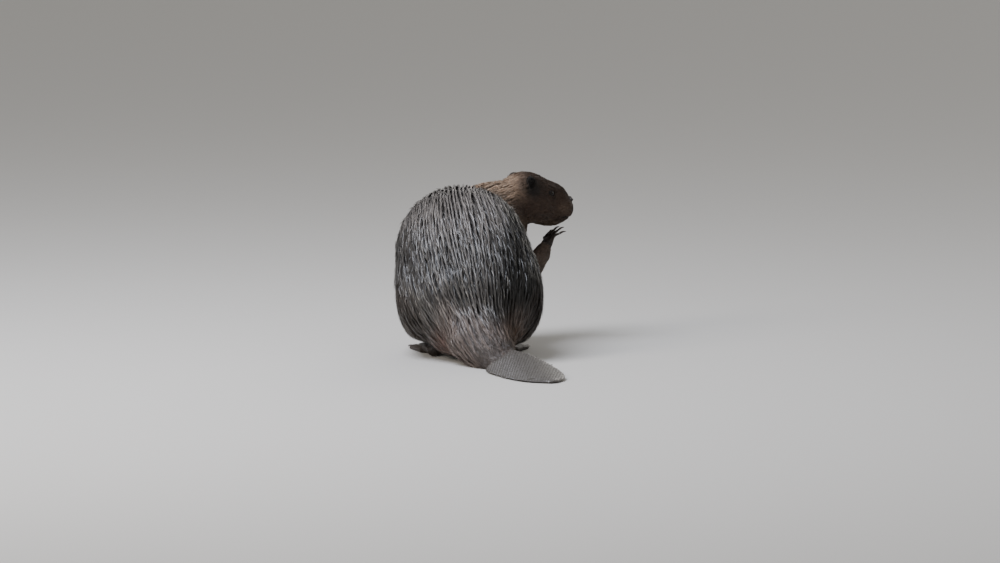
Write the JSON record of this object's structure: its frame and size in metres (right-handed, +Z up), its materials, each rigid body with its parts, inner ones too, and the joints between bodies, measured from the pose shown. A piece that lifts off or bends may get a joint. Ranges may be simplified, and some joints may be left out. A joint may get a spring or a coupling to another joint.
{
  "type": "beaver",
  "caption": "Life-size adult beaver sitting hunched on its haunches, head turned to its right, forepaws raised under the chin, flat scaly tail laid behind.",
  "frame": {"origin": "on the floor, under the middle of the whole animal's box", "axes": "+Y the way the animal's body faces, +X to its right, +Z up"},
  "size_m": [0.393, 0.776, 0.3767],
  "materials": {
    "back_coat": "wet grey-brown guard hair",
    "head_coat": "damp reddish-brown fur",
    "leg_coat": "short dark-brown fur",
    "foot_skin": "wet dark webbed skin",
    "tail_skin": "wet grey scaly skin",
    "ear_skin": "dark thinly furred skin",
    "nose_skin": "damp dark bare skin",
    "eye": "wet and glossy",
    "claw": "dark smooth horn"
  },
  "bodies": {
    "root": {"ear_left": "ear_skin", "ear_right": "ear_skin", "eye_left": "eye", "eye_right": "eye", "fore_claw_left_1": "claw", "fore_claw_left_2": "claw", "fore_claw_left_3": "claw", "fore_claw_left_4": "claw", "fore_claw_left_5": "claw", "fore_claw_right_1": "claw", "fore_claw_right_2": "claw", "fore_claw_right_3": "claw", "fore_claw_right_4": "claw", "fore_claw_right_5": "claw", "forefoot_left": "foot_skin", "forefoot_right": "foot_skin", "foreleg_left": "leg_coat", "foreleg_right": "leg_coat", "head": "head_coat", "hind_claw_left_1": "claw", "hind_claw_left_2": "claw", "hind_claw_left_3": "claw", "hind_claw_left_4": "claw", "hind_claw_left_5": "claw", "hind_claw_right_1": "claw", "hind_claw_right_2": "claw", "hind_claw_right_3": "claw", "hind_claw_right_4": "claw", "hind_claw_right_5": "claw", "hind_foot_left": "foot_skin", "hind_foot_right": "foot_skin", "hind_leg_left": "leg_coat", "hind_leg_right": "leg_coat", "neck": "head_coat", "nose": "nose_skin", "tail_blade": "tail_skin", "tail_root": "back_coat", "trunk": "back_coat"}
  },
  "joints": []
}
